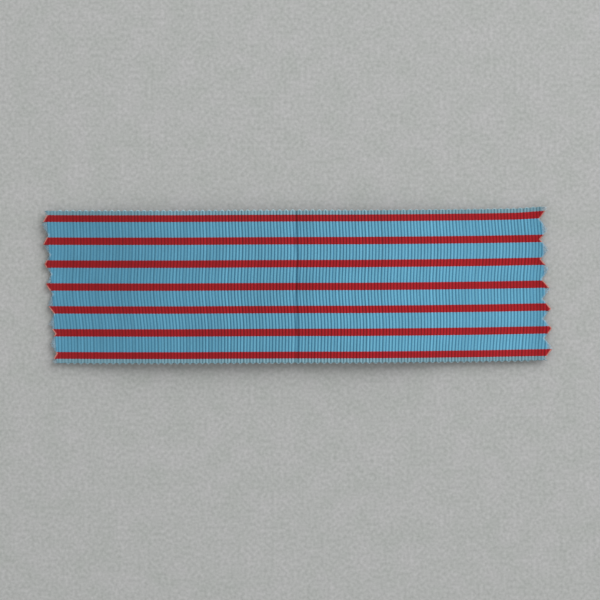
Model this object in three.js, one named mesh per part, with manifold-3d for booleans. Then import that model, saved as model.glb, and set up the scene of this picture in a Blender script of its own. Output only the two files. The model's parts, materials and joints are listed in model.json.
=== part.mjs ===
// A length of medal ribbon: a narrow ribbed cloth, light blue with seven red stripes, pinked at both ends and
// pressed across the middle, where it folds face inwards.
//
// Millimetres. +X runs along the ribbon and its stripes, +Y across it and +Z up out of its face. The origin is under
// the middle of the ribbon, on the surface that its two ends lie on.
//
// A ribbon is woven from two sets of yarns. The warp yarns run along it and are all that shows: side by side, in
// groups of one colour, they make the stripes, the bands between them and the two selvedges. One weft yarn goes to
// and fro inside them, and turns round the edge of each selvedge. Each colour group is a flat sleeve with a slot
// that the weft goes through, and every piece ends at the pressed crease, so that each half is a body of its own.

import * as THREE from 'three';
import { mergeVertices } from 'three/addons/utils/BufferGeometryUtils.js';
import Module from 'manifold-3d';

const wasm = await Module();
wasm.setup();

// ---- Driving dimensions ----

// Widths across the ribbon
const redStripeCount = 7;
const redStripeWidth = 1.74;
const outerRedStripeWidth = 1.6;
const blueBandWidth = 3.77;
const selvedgeWidth = 1.07;

// Lengths from the crease to the line of tooth tips, along the middle of the ribbon
const leftLength = 60.2;
const rightLength = 61.1;

// How much further left each end's cut lies at the upper edge than at the lower one
const leftSlant = 2.6;
const rightSlant = 1.5;

// Pinked ends: a zigzag cut, and where one tooth's tip comes from the middle of the ribbon
const toothPitch = 4.76;
const leftToothDepth = 1.5;
const rightToothDepth = 2.0;
const leftToothOffset = 0.65;
const rightToothOffset = -1.15;

// Thickness: two layers of warp with the weft between them
const warpLayer = 0.14;
const weftThickness = 0.22;
const weftClearance = 0.03;

// The weft: one pass in each rib
const ribPitch = 0.78;
const weftWidth = 0.42;
const turnStandout = 0.15;
const turnClearance = 0.02;
const turnChamfer = 0.1;

// How the ribbon lies: flat at its very ends, in a low arch between them, with a slight dip at the crease
const flatEnd = 4.0;
const archRise = 2.2;
const leftFall = 24.0;
const rightFall = 38.0;
const creaseDip = 0.3;
const creaseReach = 3.0;
const creaseGap = 0.1;

// Walls left round the slot that holds the weft
const creaseWall = 0.3;
const toothWall = 0.5;

// Fineness of the arch
const creaseSteps = 4;
const archSteps = 10;

// ---- Sizes that follow ----

const blueBandCount = redStripeCount - 1;
const redWidth = (i) => (i === 1 || i === redStripeCount ? outerRedStripeWidth : redStripeWidth);
const redTotal = (redStripeCount - 2) * redStripeWidth + 2 * outerRedStripeWidth;
const wovenWidth = redTotal + blueBandCount * blueBandWidth + 2 * selvedgeWidth;
const thickness = 2 * (warpLayer + weftClearance) + weftThickness;
const overlap = 1.0; // how far a cutter runs past what it cuts

const halves = {
  left: {
    side: -1,
    length: leftLength,
    slant: leftSlant,
    toothDepth: leftToothDepth,
    toothOffset: leftToothOffset,
    fall: leftFall,
  },
  right: {
    side: 1,
    length: rightLength,
    slant: rightSlant,
    toothDepth: rightToothDepth,
    toothOffset: rightToothOffset,
    fall: rightFall,
  },
};

// ---- Materials ----

const cloth = (color) => new THREE.MeshStandardMaterial({ color, roughness: 0.75, metalness: 0 });
const redWarp = () => cloth(0x942328);
const blueWarp = () => cloth(0x5f99b4);
const selvedgeWarp = () => cloth(0x7296a4);
const paleWeft = () => cloth(0xa9b8c4);

// ---- Solids ----

function toSolid(geometry) {
  const bare = geometry.clone();
  bare.deleteAttribute('normal');
  bare.deleteAttribute('uv');
  const welded = mergeVertices(bare);
  return new wasm.Manifold(new wasm.Mesh({
    numProp: 3,
    vertProperties: Float32Array.from(welded.attributes.position.array),
    triVerts: Uint32Array.from(welded.index.array),
  }));
}

function toGeometry(solid) {
  const mesh = solid.getMesh();
  const geometry = new THREE.BufferGeometry();
  geometry.setAttribute('position', new THREE.BufferAttribute(mesh.vertProperties, 3));
  geometry.setIndex(new THREE.BufferAttribute(mesh.triVerts, 1));
  geometry.computeVertexNormals();
  return geometry;
}

// ---- The lie of the ribbon ----

// Height of the underside at a distance from the crease
function lieHeight(distance, half) {
  const t = THREE.MathUtils.clamp((half.length - flatEnd - distance) / half.fall, 0, 1);
  return archRise * t * t * (3 - 2 * t) - creaseDip * Math.exp(-((distance / creaseReach) ** 2));
}

// Distances from the crease at which the underside bends: beside the crease, and where the arch falls
function bendStations(half) {
  const near = 2 * creaseReach;
  const far = half.length - flatEnd;
  const shoulder = Math.max(far - half.fall, near);
  const stations = [];
  for (let i = 0; i <= creaseSteps; i++) stations.push(near * i / creaseSteps);
  for (let i = 0; i <= archSteps; i++) stations.push(shoulder + (far - shoulder) * i / archSteps);
  return [...new Set(stations)];
}

// A closed side view between two heights above the underside, anticlockwise for either half
function sideView(half, from, to, low, high) {
  const between = bendStations(half).filter((d) => d > from && d < to);
  const stations = [from, ...between, to];
  const lower = stations.map((d) => new THREE.Vector2(half.side * d, lieHeight(d, half) + low));
  const upper = stations.map((d) => new THREE.Vector2(half.side * d, lieHeight(d, half) + high));
  const outline = [...lower, ...upper.reverse()];
  return half.side > 0 ? outline : outline.reverse();
}

// ---- Pinked ends ----

// Where the line of tooth tips lies at a place across the ribbon, as a distance from the crease
function tipLine(y, half) {
  return half.length - half.side * half.slant * y / wovenWidth;
}

// The plan of one half: straight at the crease, a zigzag at the far end
function pinkedPlan(half) {
  const edge = wovenWidth / 2 + overlap;
  const first = Math.ceil((-edge - half.toothOffset) / (toothPitch / 2));
  const last = Math.floor((edge - half.toothOffset) / (toothPitch / 2));
  const points = [new THREE.Vector2(0, -edge)];
  for (let i = first - 1; i <= last + 1; i++) {
    const y = half.toothOffset + i * toothPitch / 2;
    const isTip = i % 2 === 0;
    points.push(new THREE.Vector2(half.side * (tipLine(y, half) - (isTip ? 0 : half.toothDepth)), y));
  }
  points.push(new THREE.Vector2(0, points[points.length - 1].y));
  points[0].y = points[1].y;
  return points;
}

function pinkedPrism(half) {
  const height = archRise + thickness + 2 * overlap;
  const prism = new THREE.ExtrudeGeometry(new THREE.Shape(pinkedPlan(half)), { depth: height, bevelEnabled: false });
  return prism.translate(0, 0, -overlap - creaseDip);
}

// ---- Pieces ----

// The slot for the weft ends short of the crease and of the deepest notch
const slotStart = creaseGap / 2 + creaseWall;
const slotEnd = (half) => half.length - half.slant / 2 - half.toothDepth - toothWall;

// One colour group of one half: a sleeve of warp yarns, pinked at its end
function warpBand(half, width, centreY) {
  const shape = new THREE.Shape(sideView(half, creaseGap / 2, half.length + overlap + half.slant, 0, thickness));
  shape.holes.push(new THREE.Path(
    sideView(half, slotStart, slotEnd(half), warpLayer, thickness - warpLayer),
  ));
  const sleeve = new THREE.ExtrudeGeometry(shape, { depth: width, bevelEnabled: false });
  sleeve.rotateX(Math.PI / 2).translate(0, width / 2, 0);
  const cutter = pinkedPrism(half).translate(0, -centreY, 0);
  return toGeometry(toSolid(sleeve).intersect(toSolid(cutter)));
}

// The plan of the weft of one half: straight passes, one in each rib, joined by a turn outside each selvedge
function weftPlan(half) {
  const h = weftWidth / 2;
  const inner = wovenWidth / 2 + turnClearance;
  const outer = inner + turnStandout;
  const start = slotStart + weftClearance + h;
  const count = Math.floor((slotEnd(half) - weftClearance - h - start) / ribPitch) + 1;
  const ahead = [];
  const behind = [];
  for (let i = 0; i < count; i++) {
    const x = start + i * ribPitch;
    const up = i % 2 === 0 ? 1 : -1;
    const outside = i % 2 === 0 ? ahead : behind;
    const inside = i % 2 === 0 ? behind : ahead;
    if (i === 0) {
      ahead.push([x - h, -inner]);
      behind.push([x + h, -inner]);
    }
    if (i === count - 1) {
      outside.push([x - h, up * inner]);
      inside.push([x + h, up * inner]);
    } else {
      const next = x + ribPitch;
      outside.push([x - h, up * (outer - turnChamfer)], [x - h + turnChamfer, up * outer]);
      outside.push([next + h - turnChamfer, up * outer], [next + h, up * (outer - turnChamfer)]);
      inside.push([x + h, up * inner], [next - h, up * inner]);
    }
  }
  return [...ahead, ...behind.reverse()].map(([x, y]) => new THREE.Vector2(half.side * x, y));
}

// The weft follows the lie of the ribbon, midway between the two layers of warp
function weft(half) {
  const geometry = new THREE.ExtrudeGeometry(new THREE.Shape(weftPlan(half)), {
    depth: weftThickness,
    bevelEnabled: false,
  });
  const place = geometry.attributes.position;
  for (let i = 0; i < place.count; i++) {
    const height = lieHeight(Math.abs(place.getX(i)), half) + warpLayer + weftClearance;
    place.setZ(i, place.getZ(i) + height);
  }
  return geometry;
}

// ---- The order of the colours, from the upper selvedge to the lower one ----

function colourOrder() {
  const order = [{ name: 'upper_selvedge', width: selvedgeWidth, material: selvedgeWarp }];
  for (let i = 1; i <= redStripeCount; i++) {
    order.push({ name: `red_stripe_${i}`, width: redWidth(i), material: redWarp });
    if (i <= blueBandCount) order.push({ name: `blue_band_${i}`, width: blueBandWidth, material: blueWarp });
  }
  order.push({ name: 'lower_selvedge', width: selvedgeWidth, material: selvedgeWarp });
  return order;
}

function addPiece(group, name, geometry, material, y = 0) {
  const mesh = new THREE.Mesh(geometry, material());
  mesh.name = name;
  mesh.position.y = y;
  group.add(mesh);
}

function halfRibbon(name, half) {
  const group = new THREE.Group();
  let top = wovenWidth / 2;
  for (const band of colourOrder()) {
    const centreY = top - band.width / 2;
    addPiece(group, `${name}_${band.name}`, warpBand(half, band.width, centreY), band.material, centreY);
    top -= band.width;
  }
  addPiece(group, `${name}_weft`, weft(half), paleWeft);
  return group;
}

// ---- The ribbon ----

const ribbon = new THREE.Group();
for (const [name, half] of Object.entries(halves)) ribbon.add(halfRibbon(name, half));

// The crease is near the middle, but the cut ends set the middle of the whole
const extent = new THREE.Box3().setFromObject(ribbon);
ribbon.position.x = -(extent.min.x + extent.max.x) / 2;

export default ribbon;
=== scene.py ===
import json

import bpy
import numpy as np
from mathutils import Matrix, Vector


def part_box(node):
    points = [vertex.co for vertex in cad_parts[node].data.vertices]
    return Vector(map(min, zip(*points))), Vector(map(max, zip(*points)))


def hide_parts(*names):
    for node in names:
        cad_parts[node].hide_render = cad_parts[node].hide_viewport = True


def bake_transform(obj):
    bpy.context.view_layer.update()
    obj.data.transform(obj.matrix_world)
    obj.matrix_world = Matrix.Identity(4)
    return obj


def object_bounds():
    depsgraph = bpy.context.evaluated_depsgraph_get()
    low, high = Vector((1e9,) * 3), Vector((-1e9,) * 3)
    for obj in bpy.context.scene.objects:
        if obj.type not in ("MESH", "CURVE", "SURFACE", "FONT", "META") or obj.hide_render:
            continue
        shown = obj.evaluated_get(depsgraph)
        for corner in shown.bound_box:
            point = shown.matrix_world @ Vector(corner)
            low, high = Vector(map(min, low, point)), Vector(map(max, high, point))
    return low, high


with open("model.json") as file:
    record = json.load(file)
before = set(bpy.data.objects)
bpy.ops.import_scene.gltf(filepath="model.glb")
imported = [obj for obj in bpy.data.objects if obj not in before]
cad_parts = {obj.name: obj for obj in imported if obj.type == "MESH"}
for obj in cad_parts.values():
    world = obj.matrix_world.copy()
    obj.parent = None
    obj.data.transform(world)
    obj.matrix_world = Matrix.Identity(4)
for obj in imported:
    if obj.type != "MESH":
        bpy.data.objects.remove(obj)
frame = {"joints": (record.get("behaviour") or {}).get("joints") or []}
cad_box = [list(corner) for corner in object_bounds()]
bpy.ops.object.select_all(action="DESELECT")


# ---- Weft ----
# One fairly thick, soft spun yarn that goes to and fro across the ribbon, one pass in each rib, under the
# warp that covers both faces. It shows only at the edges, where it turns round the last warp yarn, and at the
# pinked ends, where the shears have cut it into short picks.

MM = 0.001
PICK_PITCH = 0.78 * MM
PICK_JITTER = 0.018 * MM
PICKS_EACH_WAY = 80
CREASE_SPREAD = 0.06 * MM

# How the ribbon lies: flat at its very ends, in a low arch between them, with a dip at the crease
FLAT_END = 4.0 * MM
ARCH_RISE = 2.2 * MM
FALLS = {-1: 24.0 * MM, 1: 38.0 * MM}
CREASE_DIP = 0.3 * MM
CREASE_REACH = 3.0 * MM
HALF_LENGTHS = {-1: 60.2 * MM, 1: 61.1 * MM}

half_width = cad_box[1][1]
fold = next(joint for joint in frame["joints"] if joint["name"] == "crease_fold")
crease_x, _, crease_top = fold["pos_m"]
thickness = crease_top - (ARCH_RISE - CREASE_DIP)
rng = np.random.default_rng(37)


def smooth(t):
    t = np.clip(t, 0, 1)
    return t * t * (3 - 2 * t)


def length_at(u):
    return np.where(u < 0, HALF_LENGTHS[-1], HALF_LENGTHS[1])


def lie_height(u):
    """Height of the cloth's underside at a distance right of the crease."""
    fall = np.where(u < 0, FALLS[-1], FALLS[1])
    arch = ARCH_RISE * smooth((length_at(u) - FLAT_END - np.abs(u)) / fall)
    return arch - CREASE_DIP * np.exp(-((u / CREASE_REACH) ** 2))


END_CUP = 0.9 * MM
CUP_START = 22 * MM
CUP_RUN = 16 * MM
END_CURL = 0.6 * MM


def end_lift(u, v):
    """Near its ends the cloth is cupped, so that its middle touches the table and its edges don't, and the
    pinked tips curl up."""
    from_contact = np.abs(u) - length_at(u) + FLAT_END
    cup = END_CUP * smooth((from_contact + CUP_START) / CUP_RUN) * (v / half_width) ** 2
    return cup + END_CURL * smooth(from_contact / FLAT_END)


DRIFT_PLACES = np.array([-60, -45, -28, -12, 0, 15, 30, 45, 60]) * MM
DRIFTS = np.array([-0.09, -0.14, -0.14, -0.05, 0.0, 0.02, 0.14, 0.32, 0.6]) * MM
CORNER_DRIFT = 0.34 * MM


def lie_sideways(u, v):
    """How far the cloth drifts across its line: the right half bows a little, and its upper corner more."""
    near_end, near_top = smooth((u - 52 * MM) / (8 * MM)), smooth((v - 12 * MM) / (6 * MM))
    return np.interp(u, DRIFT_PLACES, DRIFTS) + CORNER_DRIFT * near_end * near_top


def laid(u, v, w):
    """Places in the row frame of points at u along, v across and w above the middle of the cloth."""
    z = lie_height(u) + end_lift(u, v) + thickness / 2 + w
    return np.stack([crease_x + u, v + lie_sideways(u, v), z], axis=-1)


# Picks are counted both ways from the crease, and each lies a little unevenly.
picks = np.arange(-PICKS_EACH_WAY, PICKS_EACH_WAY)
pick_middles = (picks + 0.5) * PICK_PITCH + np.sign(picks + 0.5) * CREASE_SPREAD
pick_middles = pick_middles + rng.normal(0, PICK_JITTER, picks.size)
pairing = np.where(picks % 2 == 0, 1.0, -1.0)

# They aren't straight: each bows to the right midway between the middle and either edge, and lags at the
# edges themselves.
HUMP = 0.34 * MM
HUMP_SPAN = 18 * MM
HUMP_GROWTH = 0.7
GROWTH_START = 25
GROWTH_RUN = 25
LAG_PLACES = [-58, -45, -30, -14, 8, 23, 37, 50]
LOWER_LAGS = [1.4, 1.35, 1.16, 0.67, 0.4, 0.34, -0.15, -0.45]
UPPER_LAG = 0.18 * MM
UPPER_LAG_RUN = 20 * MM
LAG_SPAN = 19 * MM
TURN_REACH = 0.8 * MM
TURN_CLOSING = 0.11 * MM


def pick_place(c, v):
    """How far right of the crease pick c lies at v across. Between whole numbers it is between two picks."""
    u = np.interp(c, picks, pick_middles)
    hump = HUMP * np.sin(np.pi * np.clip(np.abs(v) / HUMP_SPAN, 0, 1)) ** 2
    hump = hump * (1 + HUMP_GROWTH * smooth((u / MM - GROWTH_START) / GROWTH_RUN) * (v > 0))
    slant = np.interp(u / MM, LAG_PLACES, LOWER_LAGS) * MM * smooth(-v / LAG_SPAN)
    slant = slant + UPPER_LAG * smooth(v / LAG_SPAN) * smooth(-u / UPPER_LAG_RUN)
    near_edge = smooth((np.abs(v) - half_width + TURN_REACH) / TURN_REACH)
    paired = np.interp(c, picks, pairing) * np.where(v > 0, 1, -1)
    return u + hump + slant + TURN_CLOSING * near_edge * paired


# The pressed crease: a shallow score in the upper face, along a line that wavers a little
CREASE_LINE = 0.3 * MM
CREASE_SCORE = 0.12 * MM
CREASE_WAVES = ((0.14 * MM, 2.9 * MM, 0), (0.08 * MM, 1.1 * MM, 1))


def off_crease(u, v):
    for size, length, start in CREASE_WAVES:
        u = u - size * np.sin(v / length + start)
    return u


def crease_score(u, v):
    return -CREASE_SCORE * np.exp(-((off_crease(u, v) / CREASE_LINE) ** 2))


# Pinked ends: a zigzag cut along a line that isn't quite square to the ribbon
TOOTH_PITCH = 4.76 * MM
TOOTH_DEPTHS = {-1: 1.5 * MM, 1: 2.0 * MM}
CUT_SLANTS = {-1: 2.6 * MM, 1: 1.5 * MM}
TOOTH_OFFSETS = {-1: 0.65 * MM, 1: -1.15 * MM}


def tips_at(v, side):
    return HALF_LENGTHS[side] - side * CUT_SLANTS[side] * v / (2 * half_width)


def cut_at(v, side):
    """Distance from the crease at which the shears have cut the cloth."""
    teeth = (v - TOOTH_OFFSETS[side]) / TOOTH_PITCH
    return tips_at(v, side) - TOOTH_DEPTHS[side] * 2 * np.abs(teeth - np.round(teeth))


def mesh_object(name, vertices, faces):
    mesh = bpy.data.meshes.new(name)
    mesh.from_pydata(vertices, [], faces)
    piece = bpy.data.objects.new(name, mesh)
    bpy.context.scene.collection.objects.link(piece)
    mesh.shade_smooth()
    return piece


def tube(path, wide, tall, sides):
    """Vertices and faces of a closed flattened tube along a path that lies nearly level."""
    path = np.asarray(path)
    ahead = np.gradient(path, axis=0)
    across = np.stack([-ahead[:, 1], ahead[:, 0], np.zeros(len(path))], axis=-1)
    across = across / np.maximum(np.linalg.norm(across, axis=1, keepdims=True), 1e-12)
    angles = np.arange(sides) * 2 * np.pi / sides
    wide, tall = np.broadcast_to(wide, len(path)), np.broadcast_to(tall, len(path))
    rings = path[:, None] + across[:, None] * (wide[:, None] * np.cos(angles) / 2)[..., None]
    rings[..., 2] += tall[:, None] * np.sin(angles) / 2
    faces = []
    for i in range(len(path) - 1):
        for j in range(sides):
            k = (j + 1) % sides
            faces.append((i * sides + j, (i + 1) * sides + j, (i + 1) * sides + k, i * sides + k))
    faces.append(tuple(range(sides)))
    faces.append(tuple((len(path) - 1) * sides + j for j in reversed(range(sides))))
    return rings.reshape(-1, 3), faces


def joined(parts):
    """One list of vertices and one of faces from several tubes."""
    vertices, faces, first = [], [], 0
    for ring, skin in parts:
        vertices.append(ring)
        faces += [tuple(first + i for i in face) for face in skin]
        first += len(ring)
    return np.concatenate(vertices), faces


def woven_to(v, side, fringe):
    """Where the weave ends. Past it the warp yarns are loose, because the picks in the tips slip out."""
    return np.minimum(cut_at(v, side), tips_at(v, side) - fringe)


BLUE_FRINGE = 1.4 * MM
WEFT_WIDTH = 0.5 * MM
WEFT_HEIGHT = 0.26 * MM
WEFT_SIDES = 8
PLACES_ACROSS = 400


def whole_picks():
    """The first and last picks that the cut hasn't parted."""
    v = np.linspace(-half_width, half_width, PLACES_ACROSS)
    whole = [
        c for c in picks
        if (pick_place(c, v) > -woven_to(v, -1, BLUE_FRINGE) + WEFT_WIDTH).all()
        and (pick_place(c, v) < woven_to(v, 1, BLUE_FRINGE) - WEFT_WIDTH).all()
    ]
    return whole[0], whole[-1]


first_pick, last_pick = whole_picks()

PASS_END = 0.5 * MM
PASS_POINTS = 27
SCORE_SHARE = 0.75
TURN_MIDDLE = 0.16 * MM
TURN_STEPS = np.array([0.0, 0.14, 0.32, 0.5, 0.68, 0.86, 1.0])
TURN_SHORTFALL = np.array([1.4, 0.6, 0.15, 0.0, 0.15, 0.6, 1.4]) * 0.01
UPPER_TUCK = 0.12 * MM
TUCK_RUN = 20 * MM


def running_yarn():
    """The uncut yarn's path, pass after pass, with a turn at each selvedge."""
    straight = np.linspace(-half_width + PASS_END, half_width - PASS_END, PASS_POINTS)
    path = []
    for c in range(first_pick, last_pick + 1):
        up = c % 2 == 0
        v = straight if up else straight[::-1]
        u = pick_place(c, v)
        path.append(laid(u, v, SCORE_SHARE * crease_score(u, v)))
        if c < last_pick:
            tucked = UPPER_TUCK * smooth(c * PICK_PITCH / TUCK_RUN) if up else 0
            edge = (half_width - TURN_MIDDLE - tucked) * (1 if up else -1)
            v = edge * (1 - TURN_SHORTFALL)
            path.append(laid(pick_place(c + TURN_STEPS, v), v, np.zeros(v.size)))
    return np.concatenate(path)


CUT_PLACES_ACROSS = 300
CUT_POINTS = 24
CUT_EDGE = 0.2 * MM
CUT_DRAWN_IN = 0.15 * MM
FEWEST_PLACES = 5


def cut_yarns():
    """The short picks left in the teeth."""
    v = np.linspace(-half_width + CUT_EDGE, half_width - CUT_EDGE, CUT_PLACES_ACROSS)
    for side, cut_picks in (
        (-1, range(-PICKS_EACH_WAY, first_pick)),
        (1, range(last_pick + 1, PICKS_EACH_WAY)),
    ):
        for c in cut_picks:
            inside = side * pick_place(c, v) < woven_to(v, side, BLUE_FRINGE) - CUT_DRAWN_IN
            ends = np.flatnonzero(np.diff(np.concatenate([[0], inside.astype(int), [0]])))
            for low, high in ends.reshape(-1, 2):
                if high - low > FEWEST_PLACES:
                    run = np.linspace(v[low], v[high - 1], CUT_POINTS)
                    yield laid(pick_place(c, run), run, np.zeros(CUT_POINTS))


def tree_of(material):
    material.use_nodes = True
    nodes, links = material.node_tree.nodes, material.node_tree.links
    return nodes, links, nodes["Principled BSDF"]


def mixed(nodes, links, share, a, b, blend="MIX"):
    """A colour mix, where a and b are sockets or linear colours."""
    node = nodes.new("ShaderNodeMix")
    node.data_type = "RGBA"
    node.blend_type = blend
    for socket, value in ((node.inputs[0], share), (node.inputs[6], a), (node.inputs[7], b)):
        if isinstance(value, bpy.types.NodeSocket):
            links.new(value, socket)
        else:
            socket.default_value = value
    return node.outputs[2]


def ranged(nodes, links, value, low, high, to_low=0.0, to_high=1.0):
    node = nodes.new("ShaderNodeMapRange")
    links.new(value, node.inputs["Value"])
    node.inputs["From Min"].default_value = low
    node.inputs["From Max"].default_value = high
    node.inputs["To Min"].default_value = to_low
    node.inputs["To Max"].default_value = to_high
    return node.outputs[0]


def noise(nodes, links, place, scale, detail):
    node = nodes.new("ShaderNodeTexNoise")
    node.inputs["Scale"].default_value = scale
    node.inputs["Detail"].default_value = detail
    links.new(place, node.inputs["Vector"])
    return node.outputs["Fac"]


def roughened(nodes, links, shader, height, strength, distance):
    bump = nodes.new("ShaderNodeBump")
    bump.inputs["Strength"].default_value = strength
    bump.inputs["Distance"].default_value = distance
    links.new(height, bump.inputs["Height"])
    links.new(bump.outputs["Normal"], shader.inputs["Normal"])


def shade(r, g, b):
    """A linear colour with alpha from one as the eye names it, 0 to 255."""
    return tuple(((c / 255 + 0.055) / 1.055) ** 2.4 for c in (r, g, b)) + (1.0,)


WEFT_COLOUR = shade(188, 208, 215)
WEFT_DARK = shade(132, 164, 176)


def weft_finish():
    """Soft spun yarn, dull, with a fine uneven fuzz."""
    material = bpy.data.materials.new("weft_yarn")
    nodes, links, shader = tree_of(material)
    place = nodes.new("ShaderNodeTexCoord").outputs["Object"]
    fuzz = noise(nodes, links, place, scale=5200, detail=4)
    links.new(mixed(nodes, links, fuzz, WEFT_DARK, WEFT_COLOUR), shader.inputs["Base Color"])
    links.new(ranged(nodes, links, fuzz, 0, 1, 0.7, 0.9), shader.inputs["Roughness"])
    roughened(nodes, links, shader, fuzz, strength=0.5, distance=0.02 * MM)
    return material


weft_paths = [running_yarn(), *cut_yarns()]
weft_tubes = [tube(path, WEFT_WIDTH, WEFT_HEIGHT, WEFT_SIDES) for path in weft_paths]
weft = mesh_object("weft", *joined(weft_tubes))
weft.data.materials.append(weft_finish())
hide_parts("left_weft", "right_weft")


# ---- Blue bands ----
# Six groups of light blue rayon warp yarns, packed so close that they hide the weft. Every other yarn floats
# over one pick and dives under the next, so each rib is a row of short pillows and the next rib's are half a
# yarn over. Each group is woven in one length, which only the pressed crease and the pinked cut interrupt.

RIB_PHASES = (-0.5, -0.38, -0.2, 0.0, 0.2, 0.38)
RIB_ROUNDNESS = 0.6

columns = np.array([c + phase for c in picks for phase in RIB_PHASES])


def nearest_pick(c):
    return np.floor(c + 0.5)


def rib_swell(c):
    """0 between two picks and 1 on top of one."""
    return np.cos(np.pi * (c - nearest_pick(c))) ** RIB_ROUNDNESS


DEPTH_PLACES = np.array([-61, -50, -34, -18, -8, 0, 18, 40, 61]) * MM
DEPTHS = [0.42, 0.5, 0.62, 0.86, 1.0, 1.0, 1.0, 0.84, 0.7]


def rib_depth(u):
    """How boldly the ribs stand, which fades along the left half where the cloth has been pressed."""
    return np.interp(u, DEPTH_PLACES, DEPTHS)


def woven_grid(low, high, rows, fringe):
    """Pick numbers and places across for a grid of yarns by picks, stopped where the weave ends."""
    v = np.repeat(np.linspace(low, high, rows + 1)[:, None], columns.size, axis=1)
    c = np.repeat(columns[None], rows + 1, axis=0)
    u = pick_place(c, v)
    for r in range(rows + 1):
        left = np.interp(-woven_to(v[r, 0], -1, fringe), u[r], columns)
        right = np.interp(woven_to(v[r, 0], 1, fringe), u[r], columns)
        c[r] = np.clip(c[r], left, right)
    return c, v


COLOUR_REACH = 0.09 * MM
SCALLOP = 0.09 * MM
EVEN_ROWS = 2.5
EDGE_ROWS = 3.5
RIB_SIDES = [0.36, 0.5]


def across_shift(c, v, low, high, edges):
    """How far a yarn sits from its even place: half a yarn over in every other rib, and at a colour's edge
    drawn in between the ribs (1), spread over its neighbour there (-1), or at a selvedge in scallops round
    the weft's turns (0)."""
    step = (high - low) / (v.shape[0] - 1)
    parity = np.where(nearest_pick(c) % 2 == 0, 1.0, -1.0)
    inner = smooth((v - low) / (EVEN_ROWS * step)) * smooth((high - v) / (EVEN_ROWS * step))
    shift = step / 2 * parity * inner * np.interp(np.abs(c - nearest_pick(c)), RIB_SIDES, [1, 0])
    swell = rib_swell(c) - 1
    for edge, way, off in ((edges[0], -1, v - low), (edges[1], 1, high - v)):
        near = 1 - smooth(off / (EDGE_ROWS * step))
        scallop = 0.5 - 0.5 * np.cos(np.pi * (c - 0.5)) * way
        shift = shift + way * near * (edge * COLOUR_REACH * swell - (edge == 0) * SCALLOP * scallop**2)
    return shift


# How a piece's flat map is shared out: strips for its face, as many for its underside, and one for the rest
MAP_STRIPS = 4
STRIPS_IN_ALL = 2 * MAP_STRIPS + 1


def grid_skin(same_as):
    """Quads of a closed slab whose top is a grid of vertices and whose underside is the same grid again, and
    where each of their corners lies on the piece's map."""
    rows, count = same_as.shape[0] - 1, same_as.shape[1]
    under = same_as.size
    a, b = same_as[:-1, :-1], same_as[:-1, 1:]
    d, e = same_as[1:, 1:], same_as[1:, :-1]
    first, last, left, right = same_as[0], same_as[-1], same_as[:, 0], same_as[:, -1]
    upper = np.stack([a, b, d, e], axis=-1).reshape(-1, 4)
    walls = [
        np.stack([first[:-1] + under, first[1:] + under, first[1:], first[:-1]], axis=1),
        np.stack([last[:-1], last[1:], last[1:] + under, last[:-1] + under], axis=1),
        np.stack([left[:-1], left[1:], left[1:] + under, left[:-1] + under], axis=1),
        np.stack([right[:-1] + under, right[1:] + under, right[1:], right[:-1]], axis=1),
    ]

    per_strip = count / MAP_STRIPS
    strip = np.tile(np.arange(count - 1) // per_strip, rows)[:, None]
    row, column = upper // count, upper % count
    along = np.clip((column - strip * per_strip) / per_strip, 0, 1)
    spots = [
        np.stack([along, (strip + side * MAP_STRIPS + 0.04 + 0.92 * row / rows) / STRIPS_IN_ALL], axis=-1)
        for side in (0, 1)
    ]
    spots[1] = spots[1][:, ::-1]
    for i, wall in enumerate(walls):
        grid = wall % under
        along = grid % count / count if i < 2 else grid // count / rows
        shelf = 2 * MAP_STRIPS + 0.1 + 0.15 * i + 0.1 * (wall >= under)
        spots.append(np.stack([along, shelf / STRIPS_IN_ALL], axis=-1))
    return np.concatenate([upper, upper[:, ::-1] + under, *walls]), np.concatenate(spots)


# Half the cloth's thickness on top of a rib, between two ribs, and how much thinner it is between two yarns
CREST_HALF = thickness / 2
VALLEY_HALF = 0.12 * MM
YARN_GAP = 0.25

STRAND_PITCH = 0.07 * MM
STRAND_ROOT = -0.3 * MM
STRAND_WIDTHS = np.array([1.0, 1.0, 0.9, 0.6]) * (0.09 * MM)
STRAND_HEIGHT = 0.07 * MM
STRAND_RISE = np.array([0.6, 0.8, 0.6, 0.4])
STRAND_RINGS = 4
STRAND_SIDES = 4
STRAND_CLEARANCE = 0.04 * MM
SOLID_AT_ROOT = 0.15
SOLID_LOST = 0.55


def loose_ends(low, high, fringe):
    """Warp yarns that stick out of the weave at the pinked tips, each a thin strand that sinks to the table.
    With each goes how solid its rings still look, down to -0.4 where it is all fluff."""
    for side in (-1, 1):
        for v0 in np.arange(low + STRAND_PITCH / 2, high, STRAND_PITCH):
            woven = woven_to(v0, side, fringe)
            reach = (cut_at(v0, side) - woven) * rng.uniform(0.45, 1.05)
            for face in (-1, 1):
                stub = max(reach, 0) + rng.uniform(0.03, 0.1) * MM
                along = np.array([STRAND_ROOT, 0.0, stub / 2, stub])
                sway = rng.normal(0, 0.1) * along.clip(0) + rng.normal(0, 0.015) * MM
                sink = along.clip(0) * rng.uniform(0.05, 0.2)
                w = np.maximum(face * STRAND_RISE * VALLEY_HALF - sink, -thickness / 2 + STRAND_CLEARANCE)
                path = laid(side * (woven + along), v0 + sway, w)
                solid = SOLID_AT_ROOT - SOLID_LOST * np.clip(along / fringe, 0, 1)
                strand = tube(path, STRAND_WIDTHS, STRAND_HEIGHT, STRAND_SIDES)
                yield strand, np.repeat(solid, STRAND_SIDES)


def write_attribute(piece, name, values):
    made = piece.data.attributes.new(name, "FLOAT", "POINT")
    made.data.foreach_set("value", np.asarray(values, np.float32).ravel())


def spread_map(piece, layout):
    """A flat map of the piece, as one pair of numbers for each corner of its faces."""
    piece.data.uv_layers.new(name="OFBake").uv.foreach_set("vector", np.asarray(layout, np.float32).ravel())


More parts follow.
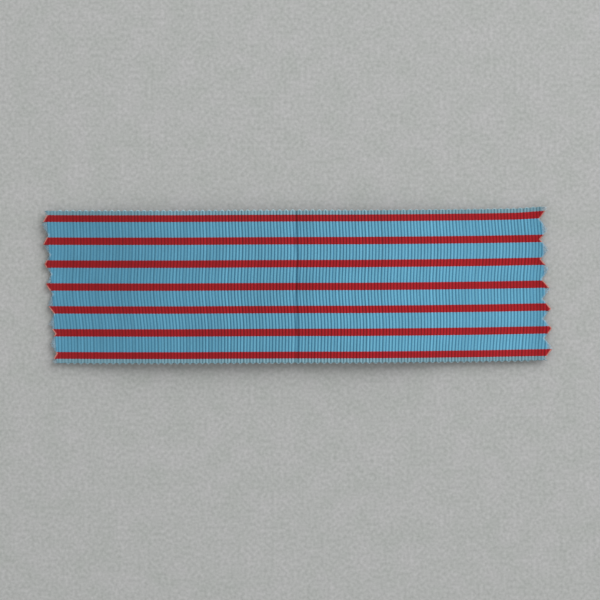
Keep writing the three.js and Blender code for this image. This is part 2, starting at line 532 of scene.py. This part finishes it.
def strand_spots(end_faces, strand_count):
    """Where the corners of the strands' faces lie on the piece's map."""
    corners = np.concatenate([np.array(face) for face in end_faces])
    per_strand = STRAND_RINGS * STRAND_SIDES
    strand, ring = corners // per_strand, corners % per_strand // STRAND_SIDES
    across = (strand + 0.1 + 0.25 * (corners % STRAND_SIDES)) / strand_count
    return np.stack([across, (2 * MAP_STRIPS + 0.75 + 0.06 * ring) / STRIPS_IN_ALL], axis=1).tolist()


def shared_places(c):
    """A number for each place of the grid, where columns past the end of the weave share that of the last one
    on it."""
    same_as = np.arange(c.size).reshape(c.shape)
    for r, row in enumerate(same_as):
        inside = np.flatnonzero(c[r, 1:] > c[r, :-1])
        row[: inside[0]] = row[inside[0]]
        row[inside[-1] + 1:] = row[inside[-1] + 1]
    return same_as


def without_slivers(quads, spots):
    """The faces and map corners that are left where corners of some quads share a place."""
    faces, layout = [], []
    for quad, spot in zip(quads.tolist(), spots.tolist()):
        kept = [i for i in range(4) if quad[i] not in quad[:i]]
        if len(kept) > 2:
            faces.append([quad[i] for i in kept])
            layout += [spot[i] for i in kept]
    return faces, layout


ROWS_PER_MM = 10
UNDER_SCORE_SHARE = 0.5
LOOSE_CREST = 0.7
# Beside the pressed crease, painted shade darkens the ribs along its line and painted light makes them paler
# just left
# of it: how much, round which place and over what reach
CREASE_PAINTED_SHADE_AND_LIGHT = ((-0.34, 0.2 * MM, 0.6 * MM), (0.25, -0.7 * MM, 0.35 * MM))


def woven_band(name, low, high, edges, fringe):
    """A closed strip of woven cloth between two places across, ribbed on both faces, with loose ends."""
    rows = 2 * round((high - low) / MM * ROWS_PER_MM / 2)
    c, v = woven_grid(low, high, rows, fringe)
    u = pick_place(c, v)
    swell = 0.5 + (rib_swell(c) - 0.5) * rib_depth(u)
    is_gap = (np.arange(rows + 1) % 2 == 0)[:, None]
    half = VALLEY_HALF + (CREST_HALF - VALLEY_HALF) * swell * (1 - YARN_GAP * is_gap)
    sunk = crease_score(u, v)
    v_laid = v + across_shift(c, v, low, high, edges)
    top, bottom = laid(u, v_laid, half + sunk), laid(u, v_laid, -half + sunk * UNDER_SCORE_SHARE)

    faces, layout = without_slivers(*grid_skin(shared_places(c)))
    used = np.unique(np.concatenate([np.array(face) for face in faces]))
    number = np.full(2 * c.size, -1)
    number[used] = np.arange(used.size)
    faces = [[int(number[i]) for i in face] for face in faces]
    vertices = np.concatenate([top.reshape(-1, 3), bottom.reshape(-1, 3)])[used]

    strands, to_tip = zip(*loose_ends(low, high, fringe))
    ends, end_faces = joined(strands)
    faces += [tuple(len(vertices) + i for i in face) for face in end_faces]
    piece = mesh_object(name, np.concatenate([vertices, ends]), faces)
    spread_map(piece, layout + strand_spots(end_faces, len(strands)))

    to_end = np.minimum(cut_at(v, -1) + u, cut_at(v, 1) - u) / MM
    yarn = v / MM * ROWS_PER_MM / 2
    # Painted shade along the crease and painted light just left of it, put into the lit crest share.
    for tone, middle, reach in CREASE_PAINTED_SHADE_AND_LIGHT:
        swell = swell * (1 + tone * np.exp(-(((off_crease(u, v) - middle) / reach) ** 2)))
    loose = {
        "pick": ends[:, 0] / PICK_PITCH,
        "yarn": ends[:, 1] / MM * ROWS_PER_MM / 2,
        "crest": LOOSE_CREST,
        "cut": np.concatenate(to_tip),
    }
    for label, values in (("pick", c), ("yarn", yarn), ("crest", swell), ("cut", to_end)):
        woven = np.concatenate([values.ravel()] * 2)[used]
        write_attribute(piece, label, np.concatenate([woven, np.broadcast_to(loose[label], len(ends))]))
    return piece


def attribute_node(nodes, name):
    node = nodes.new("ShaderNodeAttribute")
    node.attribute_name = name
    return node


def maths(nodes, links, operation, a, b):
    """A Math node on two inputs, each a socket or a number."""
    node = nodes.new("ShaderNodeMath")
    node.operation = operation
    for socket, value in zip(node.inputs, (a, b)):
        if isinstance(value, (int, float)):
            socket.default_value = value
        else:
            links.new(value, socket)
    return node.outputs[0]


def warp_finish(name, crest, shaded_valley, pale, cut_fade, thin=1.3, painted_light_at_right=1.15):
    """Filament rayon with a soft gloss: fine lines along the yarns, a lit colour on the rib crests and a
    shaded one in the valleys (painted light and painted shade), a painted light gradient along the ribbon,
    and loosened by the cut to a paler fluff at its ends."""
    material = bpy.data.materials.new(name)
    nodes, links, shader = tree_of(material)
    pick, yarn = attribute_node(nodes, "pick").outputs["Fac"], attribute_node(nodes, "yarn").outputs["Fac"]
    lit_crest_share, cut = attribute_node(nodes, "crest").outputs["Fac"], attribute_node(nodes, "cut").outputs["Fac"]
    place = nodes.new("ShaderNodeTexCoord").outputs["Object"]

    along_yarn = nodes.new("ShaderNodeCombineXYZ")
    links.new(maths(nodes, links, "MULTIPLY", pick, 0.9), along_yarn.inputs["X"])
    links.new(maths(nodes, links, "MULTIPLY", yarn, 3.0), along_yarn.inputs["Y"])
    filaments = noise(nodes, links, along_yarn.outputs[0], scale=1.0, detail=3)
    cloudy = noise(nodes, links, place, scale=130, detail=2)

    each_pick = nodes.new("ShaderNodeTexNoise")
    each_pick.noise_dimensions = "1D"
    each_pick.inputs["Scale"].default_value = 1.3
    each_pick.inputs["Detail"].default_value = 2
    links.new(pick, each_pick.inputs["W"])

    # Painted light and shade: crests take the lit colour and the valleys between ribs the shaded colour of
    # one yarn.
    colour = mixed(nodes, links, maths(nodes, links, "POWER", lit_crest_share, thin), shaded_valley, crest)
    lines = ranged(nodes, links, filaments, 0.3, 0.7, 0.86, 1.1)
    uneven = ranged(nodes, links, each_pick.outputs["Fac"], 0.25, 0.75, 0.86, 1.14)
    clouds = ranged(nodes, links, cloudy, 0.3, 0.7, 0.95, 1.05)
    # Painted light: brightness graded along the ribbon, lighter towards the right in the bands and a little
    # darker in the selvedges.
    apart = nodes.new("ShaderNodeSeparateXYZ")
    links.new(place, apart.inputs[0])
    painted_light_gradient = ranged(nodes, links, apart.outputs["X"], -0.005, 0.035, 1.0, painted_light_at_right)
    strength = maths(nodes, links, "MULTIPLY", maths(nodes, links, "MULTIPLY", lines, uneven), clouds)
    strength = maths(nodes, links, "MULTIPLY", strength, painted_light_gradient)
    tone = nodes.new("ShaderNodeCombineColor")
    for socket in tone.inputs:
        links.new(strength, socket)
    colour = mixed(nodes, links, 1.0, colour, tone.outputs[0], "MULTIPLY")

    loose = ranged(nodes, links, cut, *cut_fade, 1.0, 0.0)
    tufts = ranged(nodes, links, filaments, 0.3, 0.7, 0.7, 1.0)
    colour = mixed(nodes, links, maths(nodes, links, "MULTIPLY", loose, tufts), colour, pale)
    links.new(colour, shader.inputs["Base Color"])
    links.new(ranged(nodes, links, filaments, 0.3, 0.7, 0.62, 0.48), shader.inputs["Roughness"])
    roughened(nodes, links, shader, filaments, strength=0.6, distance=0.012 * MM)
    shader.inputs["Specular IOR Level"].default_value = 0.2
    return material


def weave(label, finish, edges, fringe):
    """Weaves the band that stands for one colour group of both halves."""
    nodes = [f"left_{label}", f"right_{label}"]
    low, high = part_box(nodes[0])[0][1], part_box(nodes[0])[1][1]
    band = woven_band(label, low, high, edges, fringe)
    band.data.materials.append(finish)
    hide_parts(*nodes)
    return band


# Crest colours here are painted light on the ribs, valley colours painted shade between them.
blue_finish = warp_finish(
    "blue_rayon",
    crest=shade(113, 182, 211),
    shaded_valley=shade(44, 106, 141),
    pale=shade(204, 217, 225),
    cut_fade=(-0.4, 0.5),
)
bands = [weave(f"blue_band_{i}", blue_finish, (1, 1), BLUE_FRINGE) for i in range(1, 7)]


# ---- Red stripes ----
# Seven narrow groups of crimson rayon warp yarns, woven in the same way and into the same ribs as the blue.
# Between the ribs they spread a little over their blue neighbours, so their edges are finely toothed.

RED_FRINGE = 0.25 * MM
# Crest colours here are painted light on the ribs, valley colours painted shade between them.
red_finish = warp_finish(
    "red_rayon",
    crest=shade(178, 28, 38),
    shaded_valley=shade(112, 0, 4),
    pale=shade(216, 154, 142),
    cut_fade=(0.08, 0.36),
)
bands += [weave(f"red_stripe_{i}", red_finish, (-1, -1), RED_FRINGE) for i in range(1, 8)]


# ---- Selvedges ----
# The last few warp yarns at each edge, of the same blue rayon. The turns of the weft hold them, and show
# beyond them as a row of small pale loops.

# Crest colours here are painted light on the ribs, valley colours painted shade between them.
selvedge_finish = warp_finish(
    "selvedge_rayon",
    crest=shade(144, 184, 199),
    shaded_valley=shade(83, 124, 140),
    pale=shade(204, 217, 225),
    cut_fade=(-0.4, 0.5),
    thin=1.6,
    # Painted light gradient: here a little darker towards the right.
    painted_light_at_right=0.96,
)
for edge, edges in (("upper", (1, 0)), ("lower", (0, 1))):
    bands.append(weave(f"{edge}_selvedge", selvedge_finish, edges, BLUE_FRINGE))


# ---- The whole ribbon as a cloth ----
# It is woven in one length, pressed across the middle and laid loose on the table. Its yarns run on across
# the crease, and the weft runs through every band. Here each piece's placement is fixed into its mesh.

for piece in [weft, *bands]:
    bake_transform(piece)


# ---- Table ----
# A plain painted surface, pale grey and very slightly mottled. It isn't part of the ribbon, which only lies
# on it.

bpy.ops.mesh.primitive_plane_add(size=1.6, location=(0, 0, 0))
table_top = bpy.context.object
table_top.name = "table_top"
table_finish = bpy.data.materials.new("pale_table")
nodes, links, shader = tree_of(table_finish)
place = nodes.new("ShaderNodeTexCoord").outputs["Object"]
fine = ranged(nodes, links, noise(nodes, links, place, scale=1250, detail=3), 0.25, 0.75)
broad = ranged(nodes, links, noise(nodes, links, place, scale=160, detail=3), 0.3, 0.7)
speckled = mixed(nodes, links, fine, shade(175, 177, 176), shade(200, 201, 201))
patchy = mixed(nodes, links, broad, shade(246, 248, 246), shade(255, 254, 255))
links.new(mixed(nodes, links, 1.0, speckled, patchy, "MULTIPLY"), shader.inputs["Base Color"])
shader.inputs["Roughness"].default_value = 0.8
shader.inputs["Specular IOR Level"].default_value = 0.2
table_top.data.materials.append(table_finish)


# ---- Light ----
# A large window's worth of soft light, low beyond the upper right, and an even pale surround that fills the
# shadows.


def soft_lamp(name, bearing, height, distance, size, power):
    lamp = bpy.data.lights.new(name, "AREA")
    lamp.shape = "DISK"
    lamp.size = size
    lamp.energy = power
    holder = bpy.data.objects.new(name, lamp)
    level = distance * np.cos(np.radians(height))
    holder.location = (
        level * np.cos(np.radians(bearing)),
        level * np.sin(np.radians(bearing)),
        distance * np.sin(np.radians(height)),
    )
    holder.rotation_euler = holder.location.to_track_quat("Z", "Y").to_euler()
    bpy.context.scene.collection.objects.link(holder)


soft_lamp("window", bearing=50, height=30, distance=1.2, size=1.3, power=11.5)
world = bpy.data.worlds.new("surround")
bpy.context.scene.world = world
world.use_nodes = True
world.node_tree.nodes["Background"].inputs["Color"].default_value = shade(240, 240, 238)
world.node_tree.nodes["Background"].inputs["Strength"].default_value = 0.64


# ---- Camera ----
# Straight above the ribbon and far enough away that nothing leans. It takes in a little more than the
# ribbon's length.

CAMERA_HEIGHT = 1.2
VIEW_WIDTH = 144.5 * MM
camera = bpy.data.cameras.new("camera")
camera.sensor_width = 36
camera.lens = camera.sensor_width * CAMERA_HEIGHT / VIEW_WIDTH
holder = bpy.data.objects.new("camera", camera)
holder.location = (0.7 * MM, -3.22 * MM, CAMERA_HEIGHT)
bpy.context.scene.collection.objects.link(holder)
bpy.context.scene.camera = holder
bpy.context.scene.view_settings.view_transform = "Standard"
